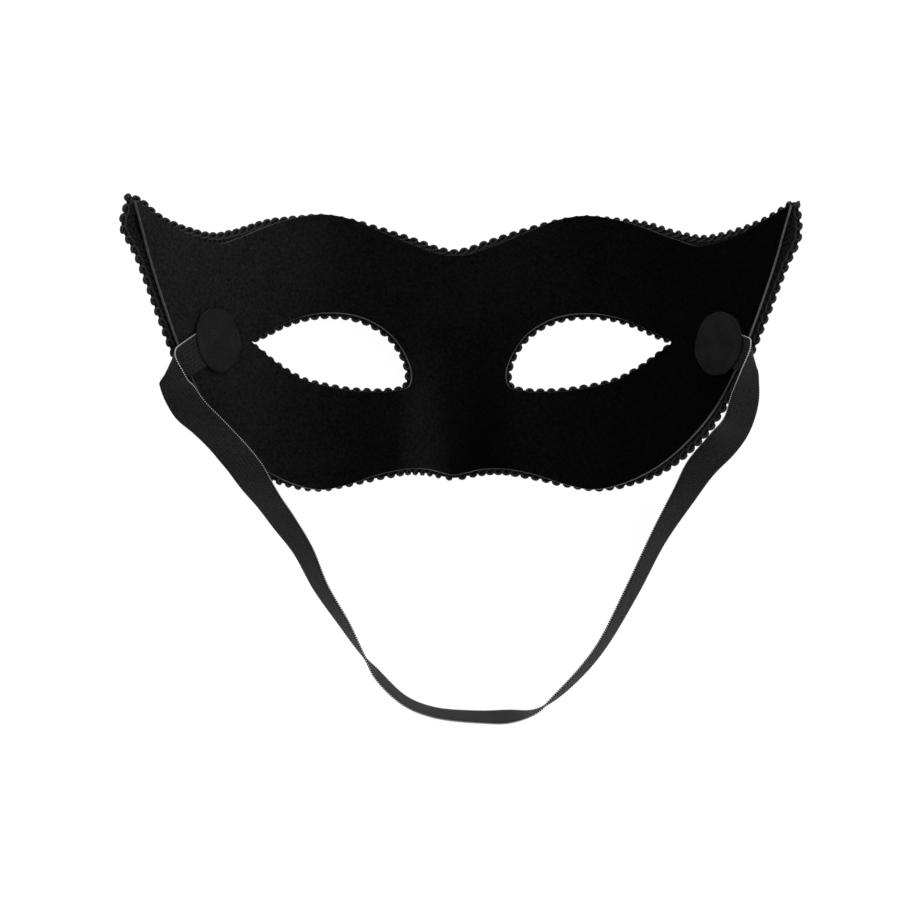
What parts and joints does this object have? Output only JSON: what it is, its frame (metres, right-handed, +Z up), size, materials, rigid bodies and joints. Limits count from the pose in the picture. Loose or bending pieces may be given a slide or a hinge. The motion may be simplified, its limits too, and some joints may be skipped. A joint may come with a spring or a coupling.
{
  "type": "party eye mask",
  "caption": "Cat-eye half mask with a moulded nose, almond eye holes, scalloped braid edging and an elastic strap held by round cloth patches.",
  "frame": {"origin": "on the surface that the mask lies on, under the middle of the mask's box without its strap", "axes": "+X across the face towards the wearer's right, +Y from the nose to the brows, +Z up out of the hollow towards the wearer's face"},
  "size_m": [0.1958, 0.1556, 0.0575],
  "materials": {
    "flock": "black flocked lining on a stiff moulded wall",
    "gimp": "black looped gimp braid with a slight sheen",
    "patch_cloth": "black plain-woven cloth",
    "elastic": "black ribbed elastic with a light dotted thread along one edge"
  },
  "bodies": {
    "root": {"mask_shell": "flock", "edge_braid": "gimp", "left_eye_braid": "gimp", "right_eye_braid": "gimp", "left_patch": "patch_cloth", "right_patch": "patch_cloth", "elastic_strap": "elastic"}
  },
  "joints": []
}
